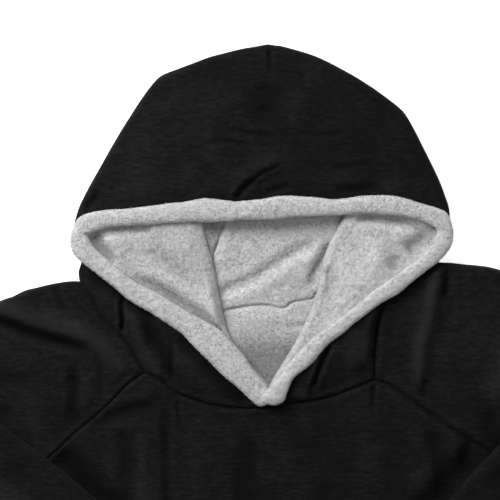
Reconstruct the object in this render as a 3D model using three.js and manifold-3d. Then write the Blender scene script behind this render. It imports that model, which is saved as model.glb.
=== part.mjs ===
// Wearable blanket hoodie, laid flat on its back with both sleeves folded over the front.
// Millimetres. +X is the wearer's left, +Y runs from the hem to the hood and +Z is up from the
// surface it lies on. The origin is on that surface, at the middle of the outline.
// Shell cloth is plush fleece and the lining is sherpa. Where the lining can't be seen, the shell
// and its lining are one wall.
import * as THREE from "three";
import { mergeVertices } from "three/addons/utils/BufferGeometryUtils.js";
import Module from "manifold-3d";

const wasm = await Module();
wasm.setup();

// Cloth
const SHELL = 2; // plush fleece
const PILE = 4; // sherpa knit with its pile
const WALL = SHELL + PILE; // both together
const GAP = 0.3; // between neighbours at a seam
const LAY = 0.6; // air between the two layers of a laid sleeve
const ROLL = 7; // height of the sherpa band turned over the hood's edge
const SPARE = 8; // cloth that runs past a seam before it is cut

// Body
const HEM_HALF = 430;
const HEM_Y = -550;
const HEM_LIFT = 8; // how far the hem's corners rise
const SIDE_SEAM = { flare: 22, flareDown: 170, tuck: 6, tuckDown: 380 }; // below the underarm
const UNDERARM = { left: [376, 0], right: [-376, -4] };

// Levels above the surface
const LINING_TOP = SHELL + GAP + PILE;
const FRONT_MID = LINING_TOP + GAP + WALL / 2;
const EDGE_TOP = LINING_TOP + 2 * GAP + WALL; // top of the hood at its outline
const CROWN_RISE = 3; // how much higher the hood's middle stands

// Seams and edges, each a list of plan points
const SHOULDER_POINT = { left: [172, 330], right: [-184, 311] };
const FRONT_NECK = [
  [-119, 224],
  [-89, 201],
  [-34, 186],
  [10, 185],
  [46, 191],
  [76, 203],
  [111, 217],
];
const SIDE_NECK = {
  left: [[172, 330], [145, 312], [118, 290], [113, 250], [111, 217]],
  right: [[-184, 311], [-172, 298], [-161, 276], [-145, 260], [-119, 224]],
};
const BACK_NECK = [
  [-160, 301],
  [-100, 292],
  [-42, 287],
  [0, 288],
  [46, 294],
  [100, 306],
  [148, 320],
];
const FRONT_RAGLAN = {
  left: [[111, 217], [176, 174], [226, 144], [300, 84], [376, 0]],
  right: [[-119, 224], [-168, 180], [-216, 136], [-300, 62], [-376, -4]],
};
const BACK_RAGLAN = {
  left: [[148, 320], [230, 200], [310, 90], [376, 0]],
  right: [[-160, 301], [-230, 190], [-310, 80], [-376, -4]],
};
const SHOULDER_EDGE = {
  left: [[172, 330], [206, 333], [236, 329], [300, 308], [343, 282]],
  right: [[-184, 311], [-214, 314], [-264, 298], [-320, 275], [-369, 251]],
};
const CREASE = {
  left: [[343, 282], [380, 4]],
  right: [[-369, 251], [-386, -14]],
};
const CUFF = {
  left: [[100, -10], [215, -106]],
  right: [[-49, 0], [-142, -118]],
};
const HOOD_CROWN = [
  [181, 342],
  [188, 358],
  [182, 386],
  [161, 436],
  [141, 477],
  [121, 494],
  [71, 527],
  [26, 544],
  [4, 550],
  [-24, 542],
  [-74, 528],
  [-104, 515],
  [-139, 466],
  [-177, 401],
  [-188, 365],
  [-186, 338],
];

// The sherpa band round the face opening: its outer edge, from the top seam to the point of the V
const BAND_OUTER = {
  left: [
    [-28, 397], [27, 402], [71, 399], [126, 402], [152, 397], [182, 386], [190, 367],
    [176, 336], [146, 311], [101, 280], [61, 250], [28, 216], [20, 196],
  ],
  right: [
    [-28, 397], [-64, 399], [-103, 393], [-163, 388], [-184, 382], [-195, 362], [-182, 334],
    [-144, 304], [-89, 266], [-44, 228], [-12, 198],
  ],
};
const BAND_WIDTH = 17;
const BAND_STEPS = { left: 34, right: 30 };

// Where the side linings fold in over the neck, from the band's top edge to the V
const BELOW_V = [4, 170];
const LINING_FOLD = {
  left: [[81, 378], [66, 334], [58, 294], [46, 262], [30, 232], [8, 205]],
  right: [[-64, 378], [-51, 332], [-40, 290], [-32, 262], [-18, 232], [2, 205]],
};

// The hood's centre seams, from its peak: down the upper layer to the band, and down the lower one
const CROWN_SEAM = [[4, 560], [4, 551], [-12, 480], [-28, 397], [-20, 300], [4, 205], [4, 170]];
const LOWER_SEAM = [[4, 560], [4, 551], [-14, 470], [-32, 400], [-48, 340], [-50, 280], [-50, 200]];

// Folds that stand up from the cloth: from, to, height and half width
const fold = (from, to, height, width) => ({ from, to, height, width });
const FRONT_FOLDS = [
  fold([-140, 165], [-134, 142], 4, 18),
  fold([-70, 165], [-50, 84], 4, 20),
  fold([-10, 160], [0, -200], 5, 24),
  fold([62, 165], [52, 30], 4, 20),
  fold([150, 155], [160, 134], 4, 18),
  fold([-330, -535], [-300, -170], 6, 30),
  fold([-215, -540], [-205, -230], 5, 28),
  fold([-105, -548], [-118, -200], 6, 30),
  fold([60, -548], [40, -240], 5, 30),
  fold([170, -540], [180, -190], 6, 28),
  fold([300, -540], [270, -150], 6, 30),
];
const SLEEVE_FOLDS = {
  left: [fold([178, 322], [160, 200], 6, 13), fold([262, 300], [232, 190], 4, 16)],
  right: [fold([-330, 285], [-160, 238], 6, 15), fold([-166, 225], [-176, 172], 4, 13)],
};
const FOREARM_FOLDS = {
  left: [fold([330, 170], [250, 40], 5, 24), fold([300, 20], [190, -60], 5, 22)],
  right: [fold([-340, 150], [-210, 60], 5, 24), fold([-330, 20], [-150, -80], 5, 24)],
};

const plan = (points) => new THREE.SplineCurve(points.map(([x, y]) => new THREE.Vector2(x, y)));

// One parameter, 0 to 1, along several curves in turn, each with its share of it.
function chain(...parts) {
  const total = parts.reduce((sum, part) => sum + part.share, 0);
  return (t) => {
    let left = t * total;
    for (const part of parts) {
      if (left <= part.share || part === parts.at(-1)) {
        return part.curve.getPointAt(Math.min(1, Math.max(0, left / part.share)));
      }
      left -= part.share;
    }
  };
}
const along = (points) => chain({ curve: plan(points), share: 1 });

// A patch of cloth between four edges, as plan points for s across and t down.
function patch(top, bottom, left, right) {
  const corners = [top(0), top(1), bottom(0), bottom(1)];
  return (s, t) => {
    const point = top(s).multiplyScalar(1 - t);
    point.addScaledVector(bottom(s), t);
    point.addScaledVector(left(t), 1 - s);
    point.addScaledVector(right(t), s);
    point.addScaledVector(corners[0], -(1 - s) * (1 - t));
    point.addScaledVector(corners[1], -s * (1 - t));
    point.addScaledVector(corners[2], -(1 - s) * t);
    point.addScaledVector(corners[3], -s * t);
    return point;
  };
}

// How far the folds lift the cloth at a plan point.
function lift(folds, x, y) {
  return folds.reduce((sum, { from, to, height, width }) => {
    const run = new THREE.Vector2(to[0] - from[0], to[1] - from[1]);
    const start = new THREE.Vector2(x - from[0], y - from[1]);
    const share = THREE.MathUtils.clamp(start.dot(run) / run.lengthSq(), 0, 1);
    const off = start.addScaledVector(run, -share).length() / width;
    return sum + height * Math.exp(-off * off);
  }, 0);
}

// A grid of middle points made a wall of the given thickness. A round grid closes on itself across.
function clothWall(grid, thickness, round = false) {
  const rows = grid.length;
  const columns = grid[0].length;
  const spans = round ? columns : columns - 1;
  const at = (row, column) => row * columns + (column % columns);
  const normals = grid.flat().map(() => new THREE.Vector3());
  for (let row = 0; row < rows - 1; row++) {
    for (let column = 0; column < spans; column++) {
      const ids = [
        at(row, column), at(row, column + 1), at(row + 1, column + 1), at(row + 1, column),
      ];
      const [a, b, c, d] = ids.map((id) => grid.flat()[id]);
      const normal = c.clone().sub(a).cross(d.clone().sub(b));
      ids.forEach((id) => normals[id].add(normal));
    }
  }
  const middle = grid.flat();
  const side = (sign) =>
    middle.map((point, id) =>
      point.clone().addScaledVector(normals[id].clone().normalize(), (sign * thickness) / 2),
    );
  const points = [...side(1), ...side(-1)];
  const under = middle.length;
  const triangles = [];
  const quad = (a, b, c, d) => triangles.push(a, b, c, a, c, d);
  for (let row = 0; row < rows - 1; row++) {
    for (let column = 0; column < spans; column++) {
      const a = at(row, column);
      const b = at(row, column + 1);
      const c = at(row + 1, column + 1);
      const d = at(row + 1, column);
      quad(a, b, c, d);
      quad(d + under, c + under, b + under, a + under);
    }
  }
  for (let column = 0; column < spans; column++) {
    quad(at(0, column + 1), at(0, column), at(0, column) + under, at(0, column + 1) + under);
    const end = at(rows - 1, column);
    const next = at(rows - 1, column + 1);
    quad(end, next, next + under, end + under);
  }
  for (let row = 0; row < rows - 1 && !round; row++) {
    quad(at(row, 0), at(row + 1, 0), at(row + 1, 0) + under, at(row, 0) + under);
    const a = at(row, columns - 1);
    const b = at(row + 1, columns - 1);
    quad(b, a, a + under, b + under);
  }
  return closedBody(points, triangles);
}

// Points and triangles made a geometry whose faces point out.
function closedBody(points, triangles) {
  let volume = 0;
  for (let i = 0; i < triangles.length; i += 3) {
    const [a, b, c] = [0, 1, 2].map((k) => points[triangles[i + k]]);
    volume += a.dot(b.clone().cross(c));
  }
  const facing = volume < 0 ? [...triangles].reverse() : triangles;
  const geometry = new THREE.BufferGeometry().setFromPoints(points);
  geometry.setIndex(facing);
  return geometry;
}

const FAR = 700; // well past the garment on every side
const ABOVE = 60;
const SPLIT_Z = LINING_TOP + GAP / 2; // between the hood's lower and upper layers
const NECK_SPARE = 0.94; // draws the sleeve's start in under the hood before it is cut
const FRONT_GRID = [20, 18];
const BACK_GRID = [8, 10];

const steps = (count) => Array.from({ length: count + 1 }, (_, i) => i / count);

// A flat panel: a patch sampled across and down, at a height that a function gives.
function panel(edges, across, down, thickness, height) {
  const place = patch(...edges);
  const grid = steps(down).map((t) =>
    steps(across).map((s) => {
      const { x, y } = place(s, t);
      return new THREE.Vector3(x, y, height(x, y));
    }),
  );
  return clothWall(grid, thickness);
}

const hem = (s) => {
  const x = HEM_HALF * (2 * s - 1);
  return new THREE.Vector2(x, HEM_Y + HEM_LIFT * (x / HEM_HALF) ** 4);
};

// Side of a body panel: down the raglan seam, then down the side seam to the hem. It has spare cloth
// along the raglan seam, which the sleeve's zone cuts off.
function bodySide(raglan, side) {
  const sign = side === "left" ? 1 : -1;
  const spare = raglan.map(([x, y], i) => [x + (i < raglan.length - 1 ? sign * SPARE : 0), y]);
  const [x, y] = spare.at(-1);
  const corner = [sign * HEM_HALF, HEM_Y + HEM_LIFT];
  const flared = [x + sign * SIDE_SEAM.flare, y - SIDE_SEAM.flareDown];
  const tucked = [corner[0] - sign * SIDE_SEAM.tuck, y - SIDE_SEAM.tuckDown];
  const seam = [[x, y], flared, tucked, corner];
  return chain({ curve: plan(spare), share: 0.42 }, { curve: plan(seam), share: 0.58 });
}

function bodyEdges(neck, raglan) {
  const sides = { left: bodySide(raglan.left, "left"), right: bodySide(raglan.right, "right") };
  const inner = neck.slice(1, -1).map(([x, y]) => [x, y + SPARE]);
  const first = sides.right(0);
  const last = sides.left(0);
  const top = along([[first.x, first.y], ...inner, [last.x, last.y]]);
  return [top, hem, sides.right, sides.left];
}

function bodyPanel(edges, [across, down], thickness, height, neighbours) {
  const whole = toSolid(panel(edges, across, down, thickness, height));
  return toGeometry(largest(neighbours.reduce((cloth, zone) => cloth.subtract(zone), whole)));
}

function backPanel(thickness, middle) {
  const neighbours = [aboveBackNeck(), sleeveZone("left", false), sleeveZone("right", false)];
  const edges = bodyEdges(BACK_NECK, BACK_RAGLAN);
  return bodyPanel(edges, BACK_GRID, thickness, () => middle, neighbours);
}

const back = () => backPanel(SHELL, SHELL / 2);
const backLining = () => backPanel(PILE, SHELL + GAP + PILE / 2);

function front() {
  const neighbours = [hoodZone(), sleeveZone("left", true), sleeveZone("right", true)];
  const edges = bodyEdges(FRONT_NECK, FRONT_RAGLAN);
  const height = (x, y) => FRONT_MID + lift(FRONT_FOLDS, x, y);
  return bodyPanel(edges, FRONT_GRID, WALL, height, neighbours);
}

// A sleeve is a laid tube of rings. Each ring runs across the front layer from the shoulder edge to
// the underarm edge, round that edge, back across the other layer and round the shoulder edge. The
// tube goes from the raglan seam out to a crease, turns over on it and comes back over the body.
const LAYER = (WALL + LAY) / 2; // from the tube's middle plane to the middle of either layer
const TUBE_MID = WALL + LAY / 2;
const TURN_Z = 2 * WALL + LAY + GAP; // height of the line the sleeve turns over on
const ACROSS = 7;
const ROUND_ENDS = [Math.PI / 3, (2 * Math.PI) / 3];
const UPPER_ROWS = 12;
const TURN_ROWS = 4;
const FOREARM_ROWS = 7;
const RISE_AFTER_SEAM = 8; // how fast a fold rises from the seam and falls to the crease
const FALL_TO_CREASE = 4;

function ringPlan() {
  const crossing = steps(ACROSS).map((s) => ({ s, out: 0, high: LAYER, inFront: true }));
  const returning = steps(ACROSS).map((s) => ({ s: 1 - s, out: 0, high: -LAYER, inFront: false }));
  const end = (s, sign) =>
    ROUND_ENDS.map((turn) => ({
      s,
      out: sign * LAYER * Math.sin(turn),
      high: sign * LAYER * Math.cos(turn),
      inFront: sign > 0,
    }));
  return [...crossing, ...end(1, 1), ...returning, ...end(0, -1)];
}

// A ring's plan point. Its middle line stays in from each edge, so that the wall ends at the edge.
function ringPoint(place, t, { s, out }) {
  const a = place(0, t);
  const b = place(1, t);
  const width = a.distanceTo(b);
  const point = place((TUBE_MID + s * (width - 2 * TUBE_MID)) / width, t);
  return point.addScaledVector(b.sub(a).normalize(), out);
}

// The part of a sleeve from its seams to the crease, in front and behind.
function upperSleeve(side) {
  const [, creaseEnd] = CREASE[side];
  const crease = along(CREASE[side]);
  const shoulder = along(SHOULDER_EDGE[side]);
  const underarm = along([UNDERARM[side], creaseEnd]);
  const neck = SIDE_NECK[side].map(([x, y], i) => [x * (i === 0 ? 1 : NECK_SPARE), y]);
  const frontStart = chain(
    { curve: plan(neck), share: 0.3 },
    { curve: plan(FRONT_RAGLAN[side]), share: 0.7 },
  );
  const backStart = along([SHOULDER_POINT[side], ...BACK_RAGLAN[side]]);
  return {
    true: patch(frontStart, crease, shoulder, underarm),
    false: patch(backStart, crease, shoulder, underarm),
  };
}

// Everything on a sleeve's side of its seam with the body, in front or behind.
function sleeveZone(side, inFront) {
  const sign = side === "left" ? 1 : -1;
  const upper = upperSleeve(side)[inFront];
  const middle = steps(ACROSS).map((s) => ringPoint(upper, 0, { s, out: 0 }));
  const end = ringPoint(upper, 0, { s: 1, out: TUBE_MID });
  const seam = [...middle, end].map(({ x, y }) => [x - sign * GAP, y - GAP]);
  const far = [[sign * FAR, end.y - GAP], [sign * FAR, FAR], [seam[0][0], FAR]];
  return prism([...seam, ...far], inFront ? SPLIT_Z : -1, inFront ? ABOVE : SPLIT_Z);
}

function sleeve(side) {
  const sign = side === "left" ? 1 : -1;
  const [creaseTop, creaseEnd] = CREASE[side];
  const outward = new THREE.Vector2(creaseTop[1] - creaseEnd[1], creaseEnd[0] - creaseTop[0]);
  outward.normalize().multiplyScalar(sign);
  const upper = upperSleeve(side);
  const forearm = patch(
    along(CREASE[side]),
    along(CUFF[side]),
    along([creaseTop, CUFF[side][0]]),
    along([creaseEnd, CUFF[side][1]]),
  );
  const ring = ringPlan();
  const upperRows = steps(UPPER_ROWS).map((t) =>
    ring.map((spot) => {
      const { x, y } = ringPoint(upper[spot.inFront], t, spot);
      const share = Math.min(1, RISE_AFTER_SEAM * t, FALL_TO_CREASE * (1 - t));
      const raised = spot.out === 0 && spot.inFront ? share * lift(SLEEVE_FOLDS[side], x, y) : 0;
      return new THREE.Vector3(x, y, TUBE_MID + spot.high + raised);
    }),
  );
  const turnRows = steps(TURN_ROWS).slice(1).map((share) =>
    ring.map((spot) => {
      const { x, y } = ringPoint(forearm, 0, spot);
      const radius = TURN_Z - TUBE_MID - spot.high;
      const reach = radius * Math.sin(Math.PI * share);
      const z = TURN_Z - radius * Math.cos(Math.PI * share);
      return new THREE.Vector3(x + outward.x * reach, y + outward.y * reach, z);
    }),
  );
  const forearmRows = steps(FOREARM_ROWS).slice(1).map((t) =>
    ring.map((spot) => {
      const { x, y } = ringPoint(forearm, t, spot);
      const raised = spot.out === 0 && !spot.inFront ? lift(FOREARM_FOLDS[side], x, y) : 0;
      return new THREE.Vector3(x, y, 2 * TURN_Z - TUBE_MID - spot.high + raised);
    }),
  );
  const tube = toSolid(clothWall([...upperRows, ...turnRows, ...forearmRows], WALL, true));
  return toGeometry(largest(tube.subtract(hoodZone()).subtract(hoodBase())));
}

// The hood is a bag whose plan is seen from this point, with its sides rounded.
const HOOD_CENTRE = new THREE.Vector2(0, 340);
const HOOD_SPOTS = 52;
const HOOD_RINGS = [0.93, 0.76, 0.56, 0.36, 0.15]; // shares of the way from the middle

// The bag's round edge: how far in and how high each level lies, as shares of half its depth
const BAG_TUCK = 0.75;
const BAG_EDGE = [
  { inset: BAG_TUCK, high: 0 },
  { inset: 0.2, high: 0.4 },
  { inset: 0, high: 1 },
  { inset: 0.2, high: 1.6 },
];
const HOOD_FOLDS = [
  fold([-2, 424], [34, 440], 2.5, 9),
  fold([52, 404], [120, 418], 2, 12),
  fold([-150, 400], [-60, 408], 1.5, 14),
];

const hoodOutline = chain(
  { curve: plan([...HOOD_CROWN, [-187, 322], [-184, 311]]), share: 0.6 },
  { curve: plan(SIDE_NECK.right), share: 0.1 },
  { curve: plan(FRONT_NECK), share: 0.18 },
  { curve: plan([...SIDE_NECK.left].reverse()), share: 0.1 },
  { curve: plan([SHOULDER_POINT.left, [178, 337], [181, 342]]), share: 0.02 },
);

const hoodTop = (x, y, share) =>
  EDGE_TOP + CROWN_RISE * (1 - share * share) + lift(HOOD_FOLDS, x, y) * (1 - share ** 4);

// The bag's outline moved in all round, as plan points.
function hoodRing(inset) {
  const spots = steps(HOOD_SPOTS).slice(0, -1);
  const outline = spots.map((t) => hoodOutline(t));
  return outline.map((point, i) => {
    const before = outline.at(i - 1);
    const after = outline[(i + 1) % outline.length];
    const run = after.clone().sub(before).normalize();
    return new THREE.Vector2(point.x - run.y * inset, point.y + run.x * inset);
  });
}

// The space inside the hood's cloth at a depth from its outer face, as a manifold-3d solid.
function hoodBag(depth) {
  const bottom = depth;
  const half = (EDGE_TOP - 2 * depth) / 2;
  const levels = BAG_EDGE.map(({ inset, high }) =>
    hoodRing(depth + half * inset).map((p) => [p.x, p.y, bottom + half * high]),
  );
  HOOD_RINGS.forEach((share) => {
    levels.push(
      hoodRing(depth + half * BAG_TUCK).map((p) => {
        const spot = p.sub(HOOD_CENTRE).multiplyScalar(share).add(HOOD_CENTRE);
        return [spot.x, spot.y, hoodTop(spot.x, spot.y, share) - depth];
      }),
    );
  });
  const points = levels.flat().map((p) => new THREE.Vector3(...p));
  const { x, y } = HOOD_CENTRE;
  points.push(new THREE.Vector3(x, y, bottom));
  points.push(new THREE.Vector3(x, y, hoodTop(x, y, 0) - depth));
  const triangles = [];
  const last = levels.length - 1;
  for (let i = 0; i < HOOD_SPOTS; i++) {
    const j = (i + 1) % HOOD_SPOTS;
    for (let k = 0; k < last; k++) {
      const [a, b] = [k * HOOD_SPOTS + i, k * HOOD_SPOTS + j];
      triangles.push(a, b, b + HOOD_SPOTS, a, b + HOOD_SPOTS, a + HOOD_SPOTS);
    }
    triangles.push(j, i, points.length - 2);
    triangles.push(last * HOOD_SPOTS + i, last * HOOD_SPOTS + j, points.length - 1);
  }
  return toSolid(closedBody(points, triangles));
}

const WELD = 0.001;

function toSolid(geometry) {
  const bare = geometry.clone();
  bare.deleteAttribute("normal");
  bare.deleteAttribute("uv");
  const merged = mergeVertices(bare, WELD);
  return new wasm.Manifold(
    new wasm.Mesh({
      numProp: 3,
      vertProperties: merged.attributes.position.array,
      triVerts: new Uint32Array(merged.index.array),
    }),
  );
}

function toGeometry(solid) {
  const { vertProperties, triVerts } = solid.getMesh();
  const geometry = new THREE.BufferGeometry();
  geometry.setAttribute("position", new THREE.BufferAttribute(vertProperties, 3));
  return geometry.setIndex(new THREE.BufferAttribute(triVerts, 1));
}

// An upright prism over a plan outline.
function prism(points, low, high) {
  const shape = new THREE.Shape(points.map(([x, y]) => new THREE.Vector2(x, y)));
  const geometry = new THREE.ExtrudeGeometry(shape, { depth: high - low, bevelEnabled: false });
  return toSolid(geometry.translate(0, 0, low));
}

// How many steps each seam is cut along
const CENTRE_CUT = 12;
const NECK_CUT = 24;
const OPENING_CUT = { left: 44, right: 40 };
const FOLD_CUT = 16;

const sampled = (points, count) => plan(points).getSpacedPoints(count).map((p) => [p.x, p.y]);
const shifted = (points, dx, dy) => points.map(([x, y]) => [x + dx, y + dy]);

// Everything on one side of the hood's centre seams, on its lower and its upper layer.
function hoodHalf(side) {
  const sign = side === "left" ? 1 : -1;
  const far = [[sign * FAR, 0], [sign * FAR, FAR]];
  const half = (seam, low, high) => {
    const points = shifted(sampled(seam, CENTRE_CUT), (sign * GAP) / 2, 0);
    return prism([[points[0][0], FAR], ...points, [points.at(-1)[0], 0], ...far], low, high);
  };
  return half(LOWER_SEAM, -1, SPLIT_Z).add(half(CROWN_SEAM, SPLIT_Z, ABOVE));
}

const backNeckSeam = () =>
  sampled([SHOULDER_POINT.right, ...BACK_NECK, SHOULDER_POINT.left], NECK_CUT);

// What lies below the back neck seam, where the body's back takes over from the hood.
function belowBackNeck() {
  const seam = backNeckSeam();
  const far = [[FAR, seam.at(-1)[1]], [FAR, 0], [-FAR, 0], [-FAR, seam[0][1]]];
  return prism([...seam, ...far], -1, SPLIT_Z);
}

function aboveBackNeck() {
  const seam = shifted(backNeckSeam(), 0, -GAP);
  const far = [[FAR, seam.at(-1)[1]], [FAR, FAR], [-FAR, FAR], [-FAR, seam[0][1]]];
  return prism([...seam, ...far], -1, SPLIT_Z);
}

const hoodPlan = () => hoodRing(-GAP).map(({ x, y }) => [x, y]);
const hoodZone = () => prism(hoodPlan(), SPLIT_Z, ABOVE);
const hoodBase = () => prism(hoodPlan(), -1, SPLIT_Z).subtract(belowBackNeck());

// The face opening in the shell: all that the band's outer edge goes round.
function shellOpening() {
  const right = sampled(BAND_OUTER.right, OPENING_CUT.right);
  const left = sampled(BAND_OUTER.left, OPENING_CUT.left).reverse();
  return prism([...right, BELOW_V, ...left.slice(0, -1)], SPLIT_Z, ABOVE);
}

// The opening in the lining: between the two side folds, up to the band.
function liningOpening() {
  const right = sampled(LINING_FOLD.right, FOLD_CUT);
  const left = sampled(LINING_FOLD.left, FOLD_CUT).reverse();
  return prism([...right, BELOW_V, ...left], SPLIT_Z, ABOVE);
}

function hoodPiece(side, outer, inner, opening) {
  const wall = hoodBag(outer).subtract(hoodBag(inner));
  const cut = wall.subtract(opening).subtract(belowBackNeck());
  return toGeometry(largest(cut.intersect(hoodHalf(side))));
}

// Of the bodies a cut leaves, the one with the most cloth.
function largest(solid) {
  return solid.decompose().reduce((best, body) => (body.volume() > best.volume() ? body : best));
}

const hoodShell = (side) => hoodPiece(side, 0, SHELL, shellOpening());

const hoodLining = (side) =>
  hoodPiece(side, SHELL + GAP, SHELL + GAP + PILE, liningOpening());

// Section of the turned band: share of the way across, and height above the lining
const BAND_SECTION = [
  { across: 0, high: 0 },
  { across: 0.02, high: 0.45 },
  { across: 0.2, high: 0.88 },
  { across: 0.5, high: 1 },
  { across: 0.8, high: 0.85 },
  { across: 0.98, high: 0.4 },
  { across: 1, high: 0 },
];
const END_HIGH = 0.4; // where the middle of the band's end lies, as a share of its height

function band(side) {
  const outer = plan(BAND_OUTER[side]);
  const sign = side === "left" ? -1 : 1;
  const count = BAND_STEPS[side];
  const shift = side === "left" ? GAP : -GAP;
  const points = [];
  steps(count).forEach((t) => {
    const edge = outer.getPointAt(t);
    const run = outer.getTangentAt(t);
    const inward = new THREE.Vector2(-run.y, run.x).multiplyScalar(sign);
    const start = t === 0 ? shift / 2 : 0;
    const base = EDGE_TOP - SHELL + CROWN_RISE;
    BAND_SECTION.forEach(({ across, high }) => {
      const x = edge.x + inward.x * (GAP + across * BAND_WIDTH) + start;
      const y = edge.y + inward.y * (GAP + across * BAND_WIDTH);
      points.push(new THREE.Vector3(x, y, base + high * ROLL));
    });
  });
  const size = BAND_SECTION.length;
  const triangles = [];
  const quad = (a, b, c, d) => triangles.push(a, b, c, a, c, d);
  for (let i = 0; i < count; i++) {
    for (let k = 0; k < size; k++) {
      const next = (k + 1) % size;
      quad(i * size + k, i * size + next, (i + 1) * size + next, (i + 1) * size + k);
    }
  }
  const firstMiddle = points.length;
  for (const end of [0, count]) {
    const cap = points.slice(end * size, end * size + size);
    const middle = cap[0].clone().add(cap.at(-1)).multiplyScalar(0.5);
    points.push(middle.setZ(cap[0].z + ROLL * END_HIGH));
  }
  for (let k = 0; k < size; k++) {
    const next = (k + 1) % size;
    triangles.push(next, k, firstMiddle);
    triangles.push(count * size + k, count * size + next, firstMiddle + 1);
  }
  return closedBody(points, triangles);
}

const plush = () =>
  new THREE.MeshStandardMaterial({ color: 0x19191a, roughness: 0.9, metalness: 0 });
const sherpa = () =>
  new THREE.MeshStandardMaterial({ color: 0xbebebe, roughness: 1, metalness: 0 });

function piece(name, geometry, material) {
  const mesh = new THREE.Mesh(geometry, material);
  mesh.name = name;
  return mesh;
}

const hoodie = new THREE.Group();
hoodie.add(piece("back", back(), plush()));
hoodie.add(piece("back_lining", backLining(), sherpa()));
hoodie.add(piece("front", front(), plush()));
for (const side of ["left", "right"]) {
  hoodie.add(piece(`sleeve_${side}`, sleeve(side), plush()));
  hoodie.add(piece(`hood_${side}`, hoodShell(side), plush()));
  hoodie.add(piece(`hood_lining_${side}`, hoodLining(side), sherpa()));
  hoodie.add(piece(`hood_band_${side}`, band(side), sherpa()));
}

export default hoodie;
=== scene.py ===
import math

import bmesh
import bpy
import numpy as np
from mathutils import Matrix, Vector, noise


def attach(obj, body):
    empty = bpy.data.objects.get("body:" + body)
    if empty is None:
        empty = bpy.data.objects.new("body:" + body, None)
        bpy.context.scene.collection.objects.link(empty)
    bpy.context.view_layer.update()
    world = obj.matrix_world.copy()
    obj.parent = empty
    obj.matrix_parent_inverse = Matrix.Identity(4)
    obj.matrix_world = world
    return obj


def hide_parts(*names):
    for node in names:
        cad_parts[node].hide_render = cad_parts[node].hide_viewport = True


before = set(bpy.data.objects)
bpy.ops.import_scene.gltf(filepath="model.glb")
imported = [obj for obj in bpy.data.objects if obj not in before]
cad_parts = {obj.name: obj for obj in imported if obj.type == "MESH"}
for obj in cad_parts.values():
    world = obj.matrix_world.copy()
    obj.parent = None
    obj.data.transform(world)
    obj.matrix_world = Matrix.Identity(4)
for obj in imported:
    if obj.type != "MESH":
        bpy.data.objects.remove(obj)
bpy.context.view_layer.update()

MM = 0.001

# Cloth
SHELL = 2.0
PILE = 4.0
WALL = SHELL + PILE
GAP = 0.3
LINING_TOP = SHELL + GAP + PILE
CLOTH_TOP = LINING_TOP + GAP + WALL  # top of the front panel and of each laid sleeve
TUBE_MID = CLOTH_TOP / 2
TURN_Z = CLOTH_TOP + GAP  # height of the line that a sleeve turns over on
CROWN_RISE = 3.0
SIDE_LINING_TOP = 14.8
SIDES = ("left", "right")

# Seams and edges, as plan points
SHOULDER_POINT = {"left": (173, 332), "right": (-184, 312)}
UNDERARM = {"left": (376, 0), "right": (-376, -4)}
FRONT_NECK = [
    (-119, 225), (-109, 220), (-99, 214), (-89, 205), (-74, 199), (-51, 192), (-26, 189), (-2, 190),
    (21, 195), (35, 195), (52, 197), (71, 202), (89, 209), (111, 218),
]
SIDE_NECK = {
    "left": [(173, 332), (145, 313), (118, 294), (114, 275), (111, 240), (111, 218)],
    "right": [
        (-184, 312), (-176, 306), (-169, 294), (-161, 280), (-144, 262), (-134, 250), (-119, 225),
    ],
}
BACK_NECK = [
    (-160, 301), (-100, 292), (-60, 288), (-41, 287), (-17, 291), (3, 292), (19, 289), (29, 295),
    (49, 299), (56, 305), (100, 308), (148, 320),
]
LOWER_SEAM_END = (-50, 287)
FRONT_RAGLAN = {
    "left": [
        (111, 218), (126, 212), (143, 200), (169, 182), (203, 159), (226, 145), (300, 84),
        (376, 0),
    ],
    "right": [
        (-119, 225), (-134, 215), (-147, 202), (-164, 185), (-187, 166), (-216, 139), (-300, 62),
        (-376, -4),
    ],
}
BACK_RAGLAN = {
    "left": [(148, 320), (230, 200), (310, 90), (376, 0)],
    "right": [(-160, 301), (-230, 190), (-310, 80), (-376, -4)],
}
SHOULDER_EDGE = {
    "left": [(173, 332), (182, 335), (203, 333), (215, 332), (236, 328), (300, 308), (343, 282)],
    "right": [
        (-184, 312), (-192, 315), (-204, 315), (-216, 313), (-228, 310), (-240, 307), (-252, 301),
        (-264, 297), (-320, 275), (-369, 251),
    ],
}
CREASE = {"left": [(343, 282), (380, 4)], "right": [(-369, 251), (-386, -14)]}
CUFF = {"left": [(100, -10), (215, -106)], "right": [(-49, 0), (-142, -118)]}
FOREARM_TOP = {
    "left": [(343, 282), (236, 156), (213, 132), (184, 97), (100, -10)],
    "right": [(-369, 251), (-264, 174), (-216, 139), (-166, 98), (-49, 0)],
}
SIDE_SEAM = {
    "left": [(376, 0), (398, -170), (424, -380), (430, -542)],
    "right": [(-376, -4), (-398, -174), (-424, -384), (-430, -542)],
}
HEM = [(-430, -542), (-300, -548), (0, -550), (300, -548), (430, -542)]

# The hood: its outline from the peak to the shoulder, and its centre seams on both layers
CROWN_EDGE = {
    "left": [
        (4, 554), (10, 553), (18, 552), (33, 548), (49, 543), (65, 536), (89, 523), (102, 515),
        (114, 507), (135, 491), (143, 482), (152, 466), (160, 450), (168, 434), (176, 417),
        (182, 401), (186, 387), (186, 362), (181, 346), (173, 332),
    ],
    "right": [
        (4, 554), (-7, 552), (-24, 549), (-40, 545), (-55, 541), (-71, 535), (-87, 529),
        (-102, 523), (-111, 515), (-123, 499), (-134, 482), (-144, 466), (-154, 449), (-163, 433),
        (-172, 417), (-180, 402), (-187, 386), (-191, 364), (-183, 338), (-186, 325), (-184, 312),
    ],
}
CROWN_SEAM = [(-30, 389), (-18, 450), (-6, 500), (4, 554)]
LOWER_SEAM = [(4, 543), (-14, 470), (-32, 400), (-41, 371), (-46, 355), (-51, 336), (-50, 287)]
WRAP = 9.0  # how far in the hood's round edge reaches on its underside

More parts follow.
